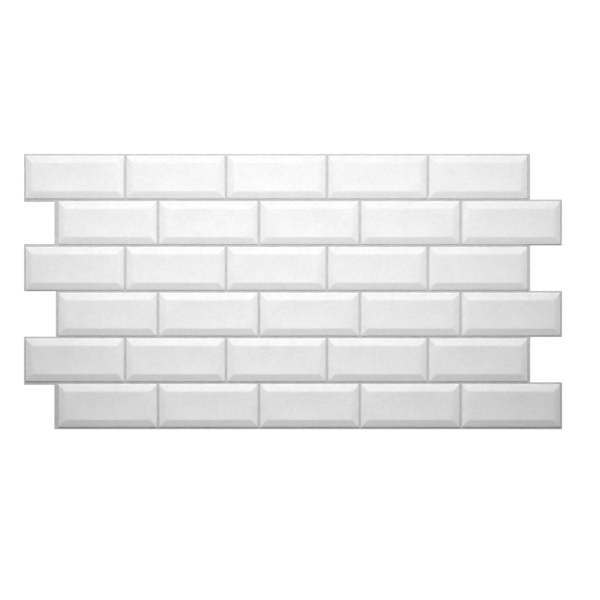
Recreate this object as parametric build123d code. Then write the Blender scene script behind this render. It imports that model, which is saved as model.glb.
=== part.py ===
"""White PVC wall panel: one thin formed sheet with courses of bevelled tiles and sunk joints.

Sizes are in millimetres. X runs along the courses, Y up the wall and Z out of the wall.
The panel lies on its back, with the floors of the joints resting at Z = 0, and the origin is
at the middle of its outline. Courses are counted from the top, and the even ones stand to the
right, so that both ends of the panel are stepped and take the ends of the next panels.
"""

import os
from math import atan2, cos, sin, tan

from build123d import *

# The sheet
sheet_wall = 0.4

# Tiles and the joints between them
courses = 6
tiles_per_course = 5
tile_length = 175.1
tile_height = 76.5
cross_joint = 4.0  # upright joint between two tiles of a course
bed_joint = 4.6  # level joint between two courses
course_shift = 58.3  # about a third of a tile

# Section of a tile, from the joint inwards: a steep side, then a bevel, then the flat face
brow_rise = 1.5  # from the joint's floor up to the brow, where the bevel begins
face_rise = 2.1  # from the brow up to the flat face
side_lean = 0.5  # how far the steep side leans in over its rise
end_bevel = 11.2  # run of the bevels at a tile's two ends
long_bevel = 12.8  # run of the bevels along its top and bottom

# Bends of the sheet: the mould behind it leaves the brow sharp at the back, and the foot in front
foot_bend = 0.6  # back radius where the steep side meets the joint
brow_bend = 0.7  # front radius of the brow
end_crest_bend = 36.0  # back radius of the soft crest between the face and an end bevel
long_crest_bend = 20.0  # the same at the long bevels

# Strips of joint floor outside the outermost tiles
end_rim = 2.6
long_rim = 3.5
notch_end_rim = 4.4  # beside a set-back tile's end
over_notch_rim = 1.8  # under the tile that overhangs a notch
under_notch_rim = 3.4  # on top of the tile below a notch
lap_end_rim = 7.0  # at the left ends where the next panel laps over the strip
lap_long_rim = 5.7  # along the tiles above and below such a notch
lapped_courses = (2, 6)

course_pitch = tile_height + bed_joint
tile_pitch = tile_length + cross_joint
course_length = tiles_per_course * tile_pitch - cross_joint
panel_length = course_length + course_shift + 2 * end_rim
panel_height = courses * course_pitch - bed_joint + 2 * long_rim

brow_height = sheet_wall + brow_rise
face_height = brow_height + face_rise
side_angle = atan2(brow_rise, side_lean)

# Each tile is formed in a window of the joint sheet, a little larger than the tile's foot.
seam = 0.2
apron = (foot_bend + sheet_wall) * tan(side_angle / 2) + seam
half_window_x = tile_length / 2 + apron
half_window_y = tile_height / 2 + apron
underlap = 1.0  # how far the two solids that make a tile reach below the sheet


def section_points(half_size, bevel, inset):
    """Crest, brow and foot of a tile's section as (distance from its middle, height).

    Each line of the section is moved into the sheet by inset, square to itself.
    """
    slope = atan2(face_rise, bevel)
    floor, face = sheet_wall - inset, face_height - inset
    move = inset / (1 + cos(side_angle - slope))
    brow_x = half_size - side_lean - move * (sin(side_angle) + sin(slope))
    brow_z = brow_height - move * (cos(side_angle) + cos(slope))
    foot_x = brow_x + (brow_z - floor) / tan(side_angle)
    crest_x = brow_x - (face - brow_z) / tan(slope)
    return (crest_x, face), (brow_x, brow_z), (foot_x, floor)


def section(half_size, half_window, bevel, inset, bends):
    """Area under a tile's section, from the middle out to the window's edge on both sides.

    bends are the radii at the crest, the brow and the foot.
    """
    right = [
        *section_points(half_size, bevel, inset),
        (half_window, sheet_wall - inset),
        (half_window, -underlap),
    ]
    left = [(-x, z) for x, z in reversed(right)]
    square = 0
    surface = FilletPolyline(*left, *right, radius=[square, *reversed(bends), *bends, square])
    return make_face(surface + Line(right[-1], left[0]))


def tile_form(inset, brow, foot):
    """Solid under one surface of a tile: what its two sections have in common.

    The section along the tile is drawn out up the wall, and the one up the wall along the
    tile. Where they cross, the bevels meet in mitred corners. brow and foot are bend radii.
    """
    to_back = sheet_wall - inset
    end_bends = (end_crest_bend + to_back, brow, foot)
    long_bends = (long_crest_bend + to_back, brow, foot)
    along = section(tile_length / 2, half_window_x, end_bevel, inset, end_bends)
    upward = section(tile_height / 2, half_window_y, long_bevel, inset, long_bends)
    return extrude(Plane.XZ * along, half_window_y, both=True) & extrude(
        Plane.YZ * upward, half_window_x, both=True
    )


def tile_shell():
    """A formed tile of one even wall, hollow behind, with its apron of joint floor."""
    sharp = 0
    front = tile_form(0.0, brow_bend, sharp)
    back = tile_form(sheet_wall, sharp, foot_bend)
    return front - back


def course_left(course):
    """X of the left edge of a course's first tile."""
    shift = course_shift if course % 2 == 0 else 0.0
    return end_rim - panel_length / 2 + shift


def course_middle(course):
    """Y of the middle of a course."""
    return panel_height / 2 - long_rim - tile_height / 2 - (course - 1) * course_pitch


def tile_places():
    """Middle of each tile."""
    return [
        Pos(course_left(course) + tile_length / 2 + number * tile_pitch, course_middle(course))
        for course in range(1, courses + 1)
        for number in range(tiles_per_course)
    ]


def notch(course):
    """What is cut from the outline at a course's set-back end."""
    lapped = course in lapped_courses
    depth = course_shift + end_rim - (lap_end_rim if lapped else notch_end_rim)
    reach = course_pitch - tile_height / 2
    # The first and last courses are open on one side, so the cut runs out past the sheet.
    above = below = course_pitch
    if course > 1:
        above = reach - (lap_long_rim if lapped else over_notch_rim)
    if course < courses:
        below = reach - (lap_long_rim if lapped else under_notch_rim)
    side = -1 if course % 2 == 0 else 1
    middle_x = side * (panel_length - depth) / 2
    middle_y = course_middle(course) + (above - below) / 2
    return Pos(middle_x, middle_y) * Rectangle(depth, above + below)


def joint_sheet():
    """The flat sheet at the floor of the joints, with its notches and a window for each tile."""
    outline = Rectangle(panel_length, panel_height)
    notches = [notch(course) for course in range(1, courses + 1)]
    window = Rectangle(2 * half_window_x, 2 * half_window_y)
    return extrude(outline - notches - [place * window for place in tile_places()], sheet_wall)


def panel_sheet():
    """The whole panel as one solid."""
    tile = tile_shell()
    return joint_sheet() + [place * tile for place in tile_places()]


def main():
    os.makedirs("parts", exist_ok=True)
    export_step(panel_sheet(), "parts/panel_sheet.step")


main()
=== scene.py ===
"""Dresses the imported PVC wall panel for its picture.

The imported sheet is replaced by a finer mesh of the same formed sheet, with faces that are
slightly sunk and the faint unevenness of pressed plastic. Lengths are in metres, in the part's
own frame: X along the courses, Y up the wall and Z out of the tiled face.
"""
from math import acos, atan2, cos, radians, sin, tan

import bpy
import numpy as np
from mathutils import Matrix, Vector, noise
from mathutils.geometry import delaunay_2d_cdt


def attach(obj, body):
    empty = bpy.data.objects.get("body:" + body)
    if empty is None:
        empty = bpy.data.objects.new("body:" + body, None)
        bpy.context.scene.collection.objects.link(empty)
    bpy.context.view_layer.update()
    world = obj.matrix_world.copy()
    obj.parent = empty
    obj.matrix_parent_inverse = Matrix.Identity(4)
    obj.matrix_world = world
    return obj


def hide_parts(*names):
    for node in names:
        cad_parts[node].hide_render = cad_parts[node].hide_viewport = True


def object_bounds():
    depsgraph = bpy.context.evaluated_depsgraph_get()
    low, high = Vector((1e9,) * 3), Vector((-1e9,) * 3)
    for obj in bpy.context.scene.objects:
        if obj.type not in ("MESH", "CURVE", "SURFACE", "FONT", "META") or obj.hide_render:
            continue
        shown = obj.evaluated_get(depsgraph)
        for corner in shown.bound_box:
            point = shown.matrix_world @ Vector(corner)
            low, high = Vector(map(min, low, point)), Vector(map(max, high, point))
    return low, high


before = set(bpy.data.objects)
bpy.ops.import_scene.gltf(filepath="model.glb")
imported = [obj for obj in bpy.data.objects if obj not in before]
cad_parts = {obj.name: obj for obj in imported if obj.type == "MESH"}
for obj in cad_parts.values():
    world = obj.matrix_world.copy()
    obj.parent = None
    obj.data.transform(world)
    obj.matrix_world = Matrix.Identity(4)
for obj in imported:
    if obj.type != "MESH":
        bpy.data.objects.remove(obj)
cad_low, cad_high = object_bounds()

MM = 0.001

# The sheet, its tiles and the joints between them
sheet_wall = 0.4 * MM
courses = 6
tiles_per_course = 5
tile_length = 175.1 * MM
tile_height = 76.5 * MM
cross_joint = 4.0 * MM
bed_joint = 4.6 * MM
course_shift = 58.3 * MM

# Section of a tile, from the joint inwards
brow_rise = 1.5 * MM
face_rise = 2.1 * MM
side_lean = 0.5 * MM
end_bevel = 11.2 * MM
long_bevel = 12.8 * MM
foot_bend = 0.6 * MM  # on the back
brow_bend = 0.7 * MM  # on the front
end_crest_bend = 36.0 * MM  # on the back
long_crest_bend = 20.0 * MM  # on the back

# Strips of joint floor outside the outermost tiles
end_rim = 2.6 * MM
long_rim = 3.5 * MM
notch_end_rim = 4.4 * MM  # beside a set-back tile's end
over_notch_rim = 1.8 * MM  # under the tile that overhangs a notch
under_notch_rim = 3.4 * MM  # on top of the tile below a notch
lap_end_rim = 7.0 * MM  # at the left ends where the next panel laps over the strip
lap_long_rim = 5.7 * MM  # along the tiles above and below such a notch
lapped_courses = (2, 6)

# Unevenness of the pressed sheet
face_sink = 0.6 * MM  # how far the middle of a tile's face lies under its rim
ripple_height = 0.03 * MM
ripple_length = 38 * MM
fine_ripple = 2.3  # how many times shorter the second ripple is

# How finely the sheet is meshed
longest_cell = 4 * MM  # along a bevel or a steep side
front_cell = 8 * MM  # on a tile's face
back_cell = 24 * MM  # the same behind it
bend_steps = 6  # round each bend
sharp_angle = radians(12.5)  # less than a mitre turns, and more than a step of a bend

# The photograph, 600 pixels square
image_pixels = 600
panel_pixels = 538.4  # length of the panel in the picture
panel_middle = (293.0, 291.5)  # pixel where the middle of the panel lies

panel_length = cad_high.x - cad_low.x
course_pitch = tile_height + bed_joint
tile_pitch = tile_length + cross_joint
brow_height = sheet_wall + brow_rise
face_height = brow_height + face_rise
side_angle = atan2(brow_rise, side_lean)


# Section of a tile

def section_points(bevel, inset):
    """Foot, brow and crest as (distance in from the tile's edge, height), inset into the sheet."""
    slope = atan2(face_rise, bevel)
    floor, face = sheet_wall - inset, face_height - inset
    move = inset / (1 + cos(side_angle - slope))
    brow_in = side_lean + move * (sin(side_angle) + sin(slope))
    brow_up = brow_height - move * (cos(side_angle) + cos(slope))
    foot_in = brow_in - (brow_up - floor) / tan(side_angle)
    crest_in = brow_in + (face - brow_up) / tan(slope)
    return Vector((foot_in, floor)), Vector((brow_in, brow_up)), Vector((crest_in, face))


def bend(before, corner, after, radius, steps):
    """Points along the arc that rounds a corner."""
    if radius == 0:
        return [corner]
    back, on = (before - corner).normalized(), (after - corner).normalized()
    half = acos(max(-1.0, min(1.0, back.dot(on)))) / 2
    centre = corner + (back + on).normalized() * radius / sin(half)
    start = corner + back * radius / tan(half) - centre
    turn = start.angle_signed(corner + on * radius / tan(half) - centre)
    return [centre + Matrix.Rotation(-turn * i / steps, 2) @ start for i in range(steps + 1)]


def side_profile(bevel, inset, bends, steps=bend_steps):
    """Section of one side from its foot to the face, as (distances in, heights).

    bends are the radii at the foot, the brow and the crest.
    """
    foot, brow, crest = section_points(bevel, inset)
    level = Vector((long_bevel, 0))
    line = [foot - level, foot, brow, crest, crest + level]
    points = []
    for before, corner, after, radius in zip(line, line[1:], line[2:], bends):
        points += bend(before, corner, after, radius, steps)
    filled = points[:1]
    for point in points[1:]:
        cells = max(1, round((point - filled[-1]).length / longest_cell))
        last = filled[-1]
        filled += [last.lerp(point, (i + 1) / cells) for i in range(cells)]
    return np.array([p.x for p in filled]), np.array([p.y for p in filled])


# One tile as a net of lines along and across it

def net_lines(half_size, depths, heights, cell):
    """Places of the net's lines across half_size both ways, and the section's height at each."""
    near = depths - half_size
    inner_cells = max(2, round(-2 * near[-1] / cell))
    inner = np.linspace(near[-1], -near[-1], inner_cells + 1)[1:-1]
    places = np.concatenate([near, inner, -near[::-1]])
    return places, np.concatenate([heights, np.full(len(inner), heights[-1]), heights[::-1]])


def tile_net(inset, bends, cell):
    """(x, y, z) of a tile's net of points about its middle, and its number of lines per side.

    The lines up and across it stand at equal heights, so that they meet on the mitres. bends
    are the radii at the foot and the brow.
    """
    to_back = sheet_wall - inset
    end_bends = (*bends, end_crest_bend + to_back)
    long_bends = (*bends, long_crest_bend + to_back)
    depths, heights = side_profile(end_bevel, inset, end_bends)
    fine_steps = 40
    long_depths, long_heights = side_profile(long_bevel, inset, long_bends, fine_steps)
    along = net_lines(tile_length / 2, depths, heights, cell)
    depths_upward = np.interp(heights, long_heights, long_depths)
    upward = net_lines(tile_height / 2, depths_upward, heights, cell)
    x, y = np.meshgrid(along[0], upward[0])
    z = np.minimum(*np.meshgrid(along[1], upward[1]))
    return x, y, z, len(heights)


def ripple(x, y):
    """A broad ripple and a finer one of half its height, together between -1.5 and 1.5."""
    x, y = x / ripple_length, y / ripple_length
    apart = 7.0  # in the noise, so that the two don't line up
    return noise.noise((x, y, 0.0)) + 0.5 * noise.noise((fine_ripple * x, fine_ripple * y, apart))


def unevenness(x, y, rise, middle):
    """How far the pressed sheet lies under its drawn shape, as a height below zero.

    rise is 0 at the joint, where nothing moves, and 1 on the face.
    """
    across = np.clip(np.abs(x) / (tile_length / 2 - end_bevel), 0, 1)
    up = np.clip(np.abs(y) / (tile_height / 2 - long_bevel), 0, 1)
    sunk = face_sink * (1 - across**4) * (1 - up**2)
    highest = 1.5  # so that no ripple stands out of the drawn shape
    ripples = ripple_height * (np.vectorize(ripple)(x + middle[0], y + middle[1]) - highest)
    return rise**2 * ripples - rise * sunk


# The whole sheet

def tile_middles():
    """Middle of each tile."""
    for course in range(1, courses + 1):
        shift = course_shift if course % 2 == 0 else 0
        first = cad_low.x + end_rim + shift + tile_length / 2
        for number in range(tiles_per_course):
            yield first + number * tile_pitch, course_middle(course)


def course_middle(course):
    """Y of the middle of a course, counted from the top."""
    return cad_high.y - long_rim - tile_height / 2 - (course - 1) * course_pitch


def stepped_side(side):
    """The outline down one side, from the top: side is -1 on the left and 1 on the right."""
    outer = side * panel_length / 2
    points = [(outer, cad_high.y)]
    first_set_back = 1 if side > 0 else 2
    for course in range(first_set_back, courses + 1, 2):
        lapped = course in lapped_courses
        inner = outer - side * (course_shift + end_rim - (lap_end_rim if lapped else notch_end_rim))
        reach = course_pitch - tile_height / 2
        high = course_middle(course) + reach - (lap_long_rim if lapped else over_notch_rim)
        low = course_middle(course) - reach + (lap_long_rim if lapped else under_notch_rim)
        high = cad_high.y if course == 1 else high
        low = cad_low.y if course == courses else low
        points += [(outer, high), (inner, high), (inner, low), (outer, low)]
    points.append((outer, cad_low.y))
    # A notch that is open at the panel's corner gives that corner a twin, and both fall away.
    return [point for point in points if points.count(point) == 1]


middles = list(tile_middles())
outline = stepped_side(-1) + stepped_side(1)[::-1]


def net_faces(rows, columns, side_lines):
    """Corner numbers of a net's quads and triangles, anticlockwise from the front.

    The triangles are the cells on the mitres, each cut along its mitre.
    """
    number = np.arange(rows * columns).reshape(rows, columns)
    cells = np.stack((number[:-1, :-1], number[:-1, 1:], number[1:, 1:], number[1:, :-1]), -1)
    row, column = np.indices((rows - 1, columns - 1))
    # How many cells each one stands in from the nearer end, up the tile and along it
    from_end = np.minimum(row, rows - 2 - row), np.minimum(column, columns - 2 - column)
    mitred = (from_end[0] == from_end[1]) & (from_end[0] < side_lines - 1)
    rising = mitred & ((row == from_end[0]) == (column == from_end[1]))
    falling = mitred & ~rising
    cuts = ((rising, (0, 1, 2)), (rising, (0, 2, 3)), (falling, (0, 1, 3)), (falling, (1, 2, 3)))
    return cells[~mitred], np.concatenate([cells[where][:, corners] for where, corners in cuts])


def net_rim(rows, columns):
    """Numbers of the points round a net, anticlockwise."""
    number = np.arange(rows * columns).reshape(rows, columns)
    sides = (number[0, :-1], number[:-1, -1], number[-1, :0:-1], number[:0:-1, 0])
    return np.concatenate(sides)


def joint_faces(points, edge, rims, reach):
    """Triangles between the sheet's edge and the tiles' rims, both given as numbers into points.

    A tile's rim lies at reach, across and up, from its middle.
    """
    loops = [edge, *rims]
    numbers = np.concatenate(loops)
    sides, start = [], 0
    for loop in loops:
        sides += [(start + i, start + (i + 1) % len(loop)) for i in range(len(loop))]
        start += len(loop)
    flat = [Vector((points[n][0], points[n][1])) for n in numbers]
    whole_hull, too_near = 0, 1e-9
    placed, _, cells, origins, _, _ = delaunay_2d_cdt(flat, sides, [], whole_hull, too_near)
    kept = []
    for cell in cells:
        source = [origins[i][0] for i in cell]
        middle = sum((placed[i] for i in cell), Vector((0, 0))) / 3
        inside_tile = any(
            abs(middle.x - x) < reach[0] and abs(middle.y - y) < reach[1]
            for x, y in middles
        )
        if inside_tile or not inside(middle, flat[: len(edge)]):
            continue
        a, b, c = (placed[i] for i in cell)
        turn = (b - a).cross(c - a)
        source = source if turn > 0 else source[::-1]
        kept.append([int(numbers[i]) for i in source])
    return kept


def inside(point, polygon):
    """True if a point lies in a polygon, by counting the edges to its right."""
    crossings = 0
    for a, b in zip(polygon, polygon[1:] + polygon[:1]):
        if (a.y > point.y) != (b.y > point.y):
            crossings += point.x < a.x + (b.x - a.x) * (point.y - a.y) / (b.y - a.y)
    return crossings % 2 == 1


def sheet_surface(inset, bends, cell):
    """Points, tile faces, joint faces and edge numbers of the sheet's front or back."""
    x, y, z, side_lines = tile_net(inset, bends, cell)
    rise = (z - z.min()) / (z.max() - z.min())
    points, faces, rims = [], [], []
    for middle in middles:
        first = sum(len(p) for p in points)
        uneven = z + unevenness(x, y, rise, middle)
        points.append(np.stack([x + middle[0], y + middle[1], uneven], -1).reshape(-1, 3))
        for corners in net_faces(*x.shape, side_lines):
            faces += (corners + first).tolist()
        rims.append(net_rim(*x.shape) + first)
    first = sum(len(p) for p in points)
    points.append(np.array([(px, py, sheet_wall - inset) for px, py in outline]))
    points = np.concatenate(points)
    edge = np.arange(first, first + len(outline))
    joints = joint_faces(points, edge, rims, (x.max(), y.max()))
    return points, faces, joints, edge


def formed_sheet():
    """The panel as one closed mesh."""
    front, front_tiles, front_joints, front_edge = sheet_surface(0.0, (0, brow_bend), front_cell)
    back, back_tiles, back_joints, back_edge = sheet_surface(sheet_wall, (foot_bend, 0), back_cell)
    back_first = len(front)
    edge = list(zip(front_edge, back_edge + back_first))
    rim = [(b, d, c, a) for (a, b), (c, d) in zip(edge, edge[1:] + edge[:1])]
    under = [[n + back_first for n in face[::-1]] for face in back_tiles + back_joints]
    groups = (front_tiles, front_joints, under, rim)
    faces = [face for group in groups for face in group]
    mesh = bpy.data.meshes.new("formed_sheet")
    mesh.from_pydata(np.concatenate([front, back]).tolist(), [], faces)
    for material in (glazed_finish(), joint_finish(), back_finish()):
        mesh.materials.append(material)
    finishes = (0, 1, 2, 2)
    index = [finish for finish, group in zip(finishes, groups) for _ in group]
    mesh.polygons.foreach_set("material_index", index)
    mesh.shade_smooth()
    mesh.set_sharp_from_angle(angle=sharp_angle)
    mesh.validate()
    piece = bpy.data.objects.new("formed_sheet", mesh)
    bpy.context.collection.objects.link(piece)
    return piece


# Finishes

def new_finish(name, colour, roughness):
    """A material, its node tree and its shader."""
    material = bpy.data.materials.new(name)
    material.use_nodes = True
    tree = material.node_tree
    shader = next(n for n in tree.nodes if n.type == "BSDF_PRINCIPLED")
    shader.inputs["Base Color"].default_value = (*colour, 1)
    shader.inputs["Roughness"].default_value = roughness
    return material, tree, shader


def place_on_part(tree, scale=(1, 1, 1), turn=0.0):
    """The part's own coordinates, in metres, turned about Z and then stretched."""
    where = tree.nodes.new("ShaderNodeTexCoord")
    turned = tree.nodes.new("ShaderNodeMapping")
    turned.vector_type = "TEXTURE"
    turned.inputs["Rotation"].default_value = (0, 0, turn)
    stretched = tree.nodes.new("ShaderNodeVectorMath")
    stretched.operation = "MULTIPLY"
    stretched.inputs[1].default_value = scale
    tree.links.new(where.outputs["Object"], turned.inputs["Vector"])
    tree.links.new(turned.outputs["Vector"], stretched.inputs[0])
    return stretched.outputs["Vector"]


def cloud(tree, place, scale, detail=3.0, distortion=0.0):
    """Noise between 0 and 1, of about scale features to a metre."""
    node = tree.nodes.new("ShaderNodeTexNoise")
    node.inputs["Scale"].default_value = scale
    node.inputs["Detail"].default_value = detail
    node.inputs["Distortion"].default_value = distortion
    tree.links.new(place, node.inputs["Vector"])
    return node.outputs["Fac"]


def ramp(tree, value, low, high, to_low=0.0, to_high=1.0):
    """A value carried from one range to another, and held at its ends."""
    node = tree.nodes.new("ShaderNodeMapRange")
    ends = {"From Min": low, "From Max": high, "To Min": to_low, "To Max": to_high}
    for name, number in ends.items():
        node.inputs[name].default_value = number
    tree.links.new(value, node.inputs["Value"])
    return node.outputs["Result"]


def total(tree, *weighted):
    """Adds values together, each times its weight."""
    added = None
    for value, weight in weighted:
        node = tree.nodes.new("ShaderNodeMath")
        node.operation = "MULTIPLY_ADD"
        node.inputs[1].default_value = weight
        node.inputs[2].default_value = 0.0
        tree.links.new(value, node.inputs[0])
        if added:
            tree.links.new(added, node.inputs[2])
        added = node.outputs["Value"]
    return added


def blend_colours(tree, share, first, second):
    """Mixes two colours, or a node's colour with another, by a share."""
    node = tree.nodes.new("ShaderNodeMix")
    node.data_type = "RGBA"
    colours = [s for s in node.inputs if s.type == "RGBA"]
    for socket, colour in zip(colours, (first, second)):
        if isinstance(colour, tuple):
            socket.default_value = (*colour, 1)
        else:
            tree.links.new(colour, socket)
    tree.links.new(share, node.inputs[0])
    return next(s for s in node.outputs if s.type == "RGBA")


def add_bump(tree, shader, height, distance, strength):
    """Fine relief in the shader, distance being how far a height of 1 stands out."""
    node = tree.nodes.new("ShaderNodeBump")
    node.inputs["Strength"].default_value = strength
    node.inputs["Distance"].default_value = distance
    tree.links.new(height, node.inputs["Height"])
    tree.links.new(node.outputs["Normal"], shader.inputs["Normal"])


def glazed_finish():
    """White satin gloss PVC, very faintly clouded, mottled and streaked."""
    white, dim = (0.886, 0.886, 0.882), (0.82, 0.821, 0.816)
    smooth, rough = 0.285, 0.35  # any smoother, and the render has specks at low angles
    material, tree, shader = new_finish("glazed_pvc", white, 0.3)
    clouds = cloud(tree, place_on_part(tree), scale=24, distortion=0.6)
    mottle = cloud(tree, place_on_part(tree), scale=210, detail=2.5, distortion=0.4)
    along_streaks = place_on_part(tree, scale=(90, 250, 1), turn=radians(40))
    streaks = cloud(tree, along_streaks, scale=1.0, distortion=1.2)
    shade = total(tree, (clouds, 0.25), (mottle, 0.5), (streaks, 0.25))
    toned = blend_colours(tree, ramp(tree, shade, 0.38, 0.62), white, dim)
    tree.links.new(toned, shader.inputs["Base Color"])
    tree.links.new(ramp(tree, clouds, 0.3, 0.7, smooth, rough), shader.inputs["Roughness"])
    add_bump(tree, shader, shade, distance=0.06 * MM, strength=0.5)
    return material


def joint_finish():
    """Light grey print on the joints' floor, like pointing."""
    grey, dark = (0.62, 0.62, 0.62), (0.54, 0.54, 0.54)
    material, tree, shader = new_finish("printed_joint", grey, 0.5)
    clouds = cloud(tree, place_on_part(tree), scale=90, detail=4.0)
    specks = cloud(tree, place_on_part(tree), scale=900, detail=2.0)
    toned = blend_colours(tree, ramp(tree, clouds, 0.35, 0.7), grey, dark)
    toned = blend_colours(tree, ramp(tree, specks, 0.6, 0.75, 0.0, 0.5), toned, dark)
    tree.links.new(toned, shader.inputs["Base Color"])
    tree.links.new(ramp(tree, specks, 0.3, 0.7, 0.42, 0.6), shader.inputs["Roughness"])
    add_bump(tree, shader, specks, distance=0.15 * MM, strength=0.4)
    return material


def back_finish():
    """Bare white PVC of the back and the cut edge, with a fine matt grain."""
    white, dull = (0.78, 0.78, 0.77), (0.72, 0.72, 0.71)
    material, tree, shader = new_finish("bare_pvc", white, 0.45)
    clouds = cloud(tree, place_on_part(tree), scale=14)
    grain = cloud(tree, place_on_part(tree), scale=1400, detail=2.0)
    toned = blend_colours(tree, ramp(tree, clouds, 0.35, 0.7), white, dull)
    tree.links.new(toned, shader.inputs["Base Color"])
    tree.links.new(ramp(tree, grain, 0.3, 0.7, 0.4, 0.55), shader.inputs["Roughness"])
    add_bump(tree, shader, grain, distance=0.05 * MM, strength=0.5)
    return material


# Stage, lights and camera

def pale_floor():
    """A wide pale floor just under the panel, which glows pure white farther out.

    It throws no light back on the panel's sides.
    """
    half, drop = 20.0, 0.3 * MM
    near, far = 0.55, 0.7  # from the panel's middle
    near_glow, far_glow = 0.93, 1.03
    grey = (0.15, 0.15, 0.15)
    mesh = bpy.data.meshes.new("floor")
    corners = [(-half, -half), (half, -half), (half, half), (-half, half)]
    mesh.from_pydata([(x, y, cad_low.z - drop) for x, y in corners], [], [(0, 1, 2, 3)])
    floor = bpy.data.objects.new("floor", mesh)
    bpy.context.collection.objects.link(floor)
    material, tree, shader = new_finish("pale_floor", grey, 0.7)
    shader.inputs["Specular IOR Level"].default_value = 0.1
    shader.inputs["Emission Color"].default_value = (1, 1, 1, 1)
    away = tree.nodes.new("ShaderNodeVectorMath")
    away.operation = "LENGTH"
    tree.links.new(place_on_part(tree), away.inputs[0])
    glow = ramp(tree, away.outputs["Value"], near, far, near_glow, far_glow)
    tree.links.new(glow, shader.inputs["Emission Strength"])
    mesh.materials.append(material)
    floor.visible_diffuse = False
    floor.visible_glossy = False


def aim(lamp, place, target):
    """Puts a lamp in its place, turned to the target and hidden from the camera."""
    lamp.location = place
    lamp.rotation_euler = (Vector(target) - Vector(place)).to_track_quat("-Z", "Y").to_euler()
    lamp.visible_camera = False
    bpy.context.collection.objects.link(lamp)


def soft_light(name, place, size, power):
    """A square lamp that faces the middle of the panel."""
    data = bpy.data.lights.new(name, "AREA")
    data.shape = "SQUARE"
    data.size = size
    data.energy = power
    aim(bpy.data.objects.new(name, data), place, (0, 0, 0))


def light_pool(name, place, target, cone, flatness, power):
    """A lamp whose cone, in degrees, fades out to its edge, to light one part of the panel."""
    data = bpy.data.lights.new(name, "SPOT")
    data.spot_size = radians(cone)
    data.spot_blend = 1.0
    data.shadow_soft_size = 0.25
    data.energy = power
    lamp = bpy.data.objects.new(name, data)
    aim(lamp, place, target)
    lamp.scale = (1, flatness, 1)


def studio():
    """Soft lamps, most of them beyond the top of the panel."""
    world = bpy.data.worlds.new("room")
    world.use_nodes = True
    sky = next(n for n in world.node_tree.nodes if n.type == "BACKGROUND")
    sky.inputs["Color"].default_value = (1, 1, 1, 1)
    sky.inputs["Strength"].default_value = 0.01
    bpy.context.scene.world = world
    soft_light("far_top", (0.0, 3.0, 0.7), size=1.0, power=25)
    soft_light("wide_top", (0.0, 0.8, 1.0), size=1.4, power=11)
    soft_light("over_left", (-0.5, 0.1, 1.0), size=0.6, power=1.4)
    soft_light("over_right", (0.5, 0.1, 1.0), size=0.6, power=1.4)
    soft_light("overhead", (0.0, 0.0, 1.2), size=0.6, power=2.2)
    upper, lower_left, lower_right = (0.0, 0.25, 0.0), (-0.1, -0.2, 0.0), (0.1, -0.2, 0.0)
    light_pool("pool_top", (0.0, 0.3, 1.6), upper, cone=50, flatness=0.5, power=8)
    light_pool("pool_left", (-1.6, 1.4, 0.8), lower_left, cone=24, flatness=1.0, power=71)
    light_pool("pool_right", (1.6, 1.4, 0.8), lower_right, cone=24, flatness=1.0, power=40)


def photo_camera():
    """A long lens that looks straight down on the face, framed as in the photograph."""
    scale = panel_length / panel_pixels
    width = scale * image_pixels
    data = bpy.data.cameras.new("camera")
    data.lens = 200
    camera = bpy.data.objects.new("camera", data)
    off_x = (image_pixels / 2 - panel_middle[0]) * scale
    off_y = (panel_middle[1] - image_pixels / 2) * scale
    camera.location = (off_x, off_y, cad_high.z + width * data.lens / data.sensor_width)
    bpy.context.collection.objects.link(camera)
    bpy.context.scene.camera = camera


def plain_colours():
    """Colours go to the picture as they are."""
    settings = bpy.context.scene.view_settings
    settings.view_transform = "Standard"
    settings.look = "None"


plain_colours()
photo_camera()
studio()
pale_floor()
sheet = formed_sheet()
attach(sheet, "root")
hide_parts("panel_sheet")
